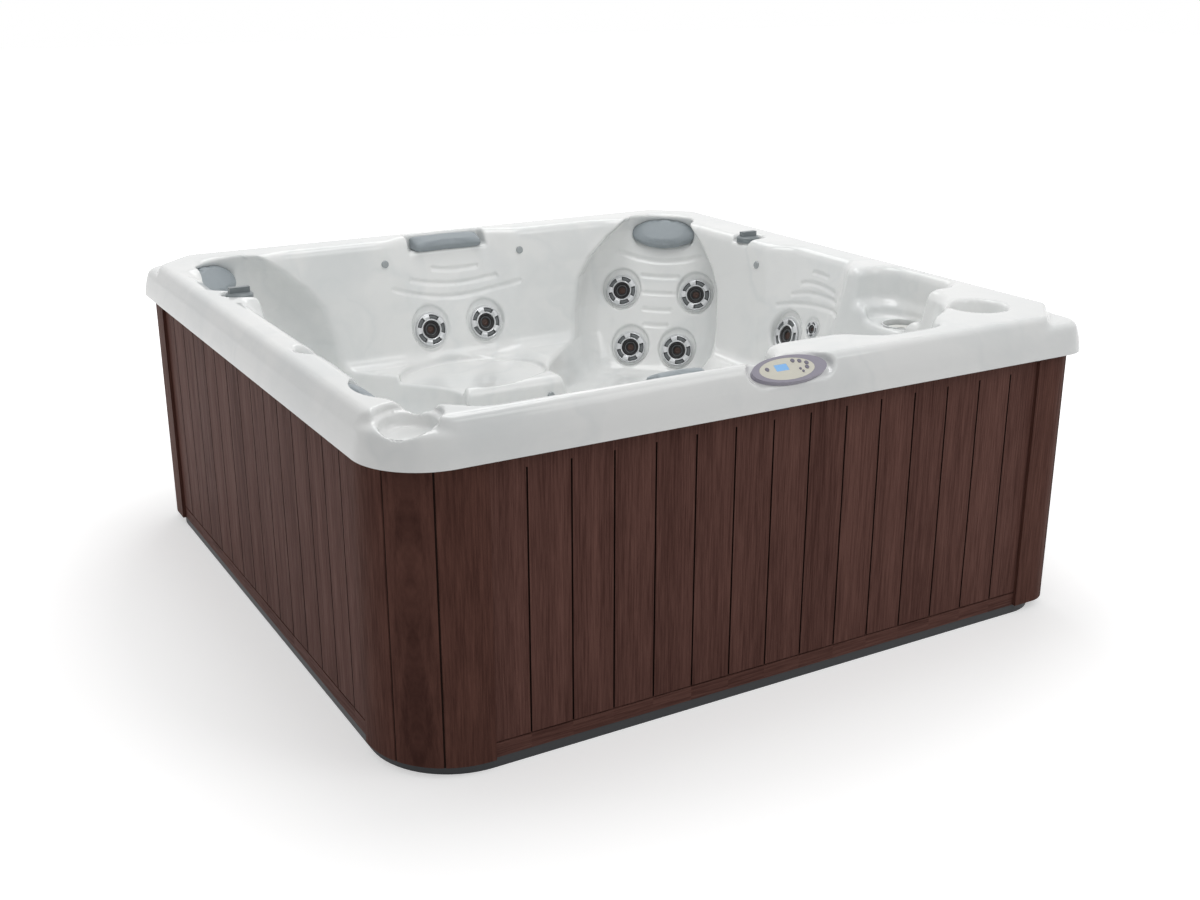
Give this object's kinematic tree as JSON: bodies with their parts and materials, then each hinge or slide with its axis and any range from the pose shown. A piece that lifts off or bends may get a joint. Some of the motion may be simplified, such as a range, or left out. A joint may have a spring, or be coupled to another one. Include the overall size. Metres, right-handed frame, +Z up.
{
  "type": "hot tub",
  "caption": "Square portable hot tub: moulded white shell with seats, footwell, jets, head pillows, rim knobs and control panel, in a grooved board cabinet.",
  "frame": {"origin": "centre of the base at floor level", "axes": "+Z up; the control panel is on the front side at -Y; +X is to the right as seen from the front"},
  "size_m": [2.13, 2.13, 0.9091],
  "materials": {
    "jet_chrome": "polished, dark windows",
    "key_plastic": "satin",
    "knob_plastic": "satin",
    "pillow_foam": "soft skin, matt",
    "cabinet_board": "grained mahogany colour",
    "frame_timber": "sawn",
    "base_plastic": "satin",
    "support_foam": "cut foam",
    "shell_acrylic": "gloss, faint marbling",
    "fitting_plastic": "satin",
    "light_lens": "translucent",
    "bezel_plastic": "satin",
    "face_plastic": "satin",
    "display_glass": "lit window",
    "motor_paint": "gloss paint",
    "pipe_plastic": "plain",
    "cover_plastic": "satin",
    "box_metal": "powder coat",
    "heater_steel": "brushed",
    "filter_fabric": "pleated"
  },
  "bodies": {
    "tub": {"back_left_corner": "cabinet_board", "back_left_pillow": "pillow_foam", "back_panel": "cabinet_board", "back_pillow": "pillow_foam", "back_right_corner": "cabinet_board", "back_right_pillow": "pillow_foam", "base_pan": "base_plastic", "control_bezel": "bezel_plastic", "control_box": "box_metal", "control_display": "display_glass", "control_face": "face_plastic", "discharge_pipe": "pipe_plastic", "filter_canister": "pipe_plastic", "filter_cartridge": "filter_fabric", "floor_foam": "support_foam", "footwell_lights": "light_lens", "frame_posts": "frame_timber", "front_left_corner": "cabinet_board", "front_panel": "cabinet_board", "front_pillow": "pillow_foam", "front_right_corner": "cabinet_board", "heater_tube": "heater_steel", "jet_fittings": "fitting_plastic", "jet_nuts": "fitting_plastic", "knob_valves": "fitting_plastic", "left_panel": "cabinet_board", "left_pillow": "pillow_foam", "lower_rails": "frame_timber", "pump_motor": "motor_paint", "pump_wet_end": "fitting_plastic", "return_manifold": "pipe_plastic", "right_panel": "cabinet_board", "suction_cover": "cover_plastic", "suction_pipe": "pipe_plastic", "tub_shell": "shell_acrylic", "upper_rails": "frame_timber", "wall_lights": "light_lens"},
    "jet_back_left_face": {"jet_back_left": "jet_chrome"},
    "jet_back_right_face": {"jet_back_right": "jet_chrome"},
    "jet_corner_upper_left_face": {"jet_corner_upper_left": "jet_chrome"},
    "jet_corner_upper_right_face": {"jet_corner_upper_right": "jet_chrome"},
    "jet_corner_lower_left_face": {"jet_corner_lower_left": "jet_chrome"},
    "jet_corner_lower_right_face": {"jet_corner_lower_right": "jet_chrome"},
    "jet_right_face": {"jet_right": "jet_chrome"},
    "jet_right_small_face": {"jet_right_small": "jet_chrome"},
    "jet_left_small_face": {"jet_left_small": "jet_chrome"},
    "jet_front_left_face": {"jet_front_left": "jet_chrome"},
    "jet_front_right_face": {"jet_front_right": "jet_chrome"},
    "jet_left_front_face": {"jet_left_front": "jet_chrome"},
    "jet_left_back_face": {"jet_left_back": "jet_chrome"},
    "right_knob_body": {"right_knob": "knob_plastic"},
    "left_knob_body": {"left_knob": "knob_plastic"},
    "key_light_cap": {"key_light": "key_plastic"},
    "key_jets_one_cap": {"key_jets_one": "key_plastic"},
    "key_jets_two_cap": {"key_jets_two": "key_plastic"},
    "key_blower_cap": {"key_blower": "key_plastic"},
    "key_menu_cap": {"key_menu": "key_plastic"},
    "key_up_cap": {"key_up": "key_plastic"},
    "key_down_cap": {"key_down": "key_plastic"}
  },
  "joints": [
    {"name": "jet_back_left_turn", "type": "hinge", "parent": "tub", "child": "jet_back_left_face", "pos_m": [-0.108, 0.88026, 0.5658], "axis": [0, -0.9638, 0.2665], "range_deg": [-90, 0]},
    {"name": "jet_back_right_turn", "type": "hinge", "parent": "tub", "child": "jet_back_right_face", "pos_m": [0.108, 0.88026, 0.5658], "axis": [0, -0.9638, 0.2665], "range_deg": [-90, 0]},
    {"name": "jet_corner_upper_left_turn", "type": "hinge", "parent": "tub", "child": "jet_corner_upper_left_face", "pos_m": [0.72039, 0.92545, 0.60484], "axis": [-0.6634, -0.6634, 0.3463], "range_deg": [-90, 0]},
    {"name": "jet_corner_upper_right_turn", "type": "hinge", "parent": "tub", "child": "jet_corner_upper_right_face", "pos_m": [0.92545, 0.72039, 0.60484], "axis": [-0.6634, -0.6634, 0.3463], "range_deg": [-90, 0]},
    {"name": "jet_corner_lower_left_turn", "type": "hinge", "parent": "tub", "child": "jet_corner_lower_left_face", "pos_m": [0.70488, 0.83499, 0.40184], "axis": [-0.6634, -0.6634, 0.3463], "range_deg": [-90, 0]},
    {"name": "jet_corner_lower_right_turn", "type": "hinge", "parent": "tub", "child": "jet_corner_lower_right_face", "pos_m": [0.83499, 0.70488, 0.40184], "axis": [-0.6634, -0.6634, 0.3463], "range_deg": [-90, 0]},
    {"name": "jet_right_turn", "type": "hinge", "parent": "tub", "child": "jet_right_face", "pos_m": [0.85648, 0.052, 0.60295], "axis": [-0.9672, 0, 0.2541], "range_deg": [-90, 0]},
    {"name": "jet_right_small_turn", "type": "hinge", "parent": "tub", "child": "jet_right_small_face", "pos_m": [0.8623, -0.069, 0.6506], "axis": [-0.9672, 0, 0.2541], "range_deg": [-90, 0]},
    {"name": "jet_left_small_turn", "type": "hinge", "parent": "tub", "child": "jet_left_small_face", "pos_m": [-0.87735, 0.372, 0.8061], "axis": [0.9865, 0, 0.1636], "range_deg": [-90, 0]},
    {"name": "jet_front_left_turn", "type": "hinge", "parent": "tub", "child": "jet_front_left_face", "pos_m": [-0.358, -0.91251, 0.56598], "axis": [0, 0.9677, 0.252], "range_deg": [-90, 0]},
    {"name": "jet_front_right_turn", "type": "hinge", "parent": "tub", "child": "jet_front_right_face", "pos_m": [-0.142, -0.91251, 0.56598], "axis": [0, 0.9677, 0.252], "range_deg": [-90, 0]},
    {"name": "jet_left_front_turn", "type": "hinge", "parent": "tub", "child": "jet_left_front_face", "pos_m": [-0.88309, -0.808, 0.56668], "axis": [0.9811, 0, 0.1934], "range_deg": [-90, 0]},
    {"name": "jet_left_back_turn", "type": "hinge", "parent": "tub", "child": "jet_left_back_face", "pos_m": [-0.88309, -0.592, 0.56668], "axis": [0.9811, 0, 0.1934], "range_deg": [-90, 0]},
    {"name": "right_knob_turn", "type": "hinge", "parent": "tub", "child": "right_knob_body", "pos_m": [0.897, 0.36, 0.87], "axis": [0, 0, 1], "range_deg": [0, 180]},
    {"name": "left_knob_turn", "type": "hinge", "parent": "tub", "child": "left_knob_body", "pos_m": [-0.925, 0.375, 0.87], "axis": [0, 0, 1], "range_deg": [0, 180]},
    {"name": "key_light_press", "type": "slide", "parent": "tub", "child": "key_light_cap", "axis": [0, 0.5878, -0.809], "range_m": [0, 0.0008], "stiffness_N_per_m": 1500},
    {"name": "key_jets_one_press", "type": "slide", "parent": "tub", "child": "key_jets_one_cap", "axis": [0, 0.5878, -0.809], "range_m": [0, 0.0008], "stiffness_N_per_m": 1500},
    {"name": "key_jets_two_press", "type": "slide", "parent": "tub", "child": "key_jets_two_cap", "axis": [0, 0.5878, -0.809], "range_m": [0, 0.0008], "stiffness_N_per_m": 1500},
    {"name": "key_blower_press", "type": "slide", "parent": "tub", "child": "key_blower_cap", "axis": [0, 0.5878, -0.809], "range_m": [0, 0.0008], "stiffness_N_per_m": 1500},
    {"name": "key_menu_press", "type": "slide", "parent": "tub", "child": "key_menu_cap", "axis": [0, 0.5878, -0.809], "range_m": [0, 0.0008], "stiffness_N_per_m": 1500},
    {"name": "key_up_press", "type": "slide", "parent": "tub", "child": "key_up_cap", "axis": [0, 0.5878, -0.809], "range_m": [0, 0.0008], "stiffness_N_per_m": 1500},
    {"name": "key_down_press", "type": "slide", "parent": "tub", "child": "key_down_cap", "axis": [0, 0.5878, -0.809], "range_m": [0, 0.0008], "stiffness_N_per_m": 1500}
  ]
}
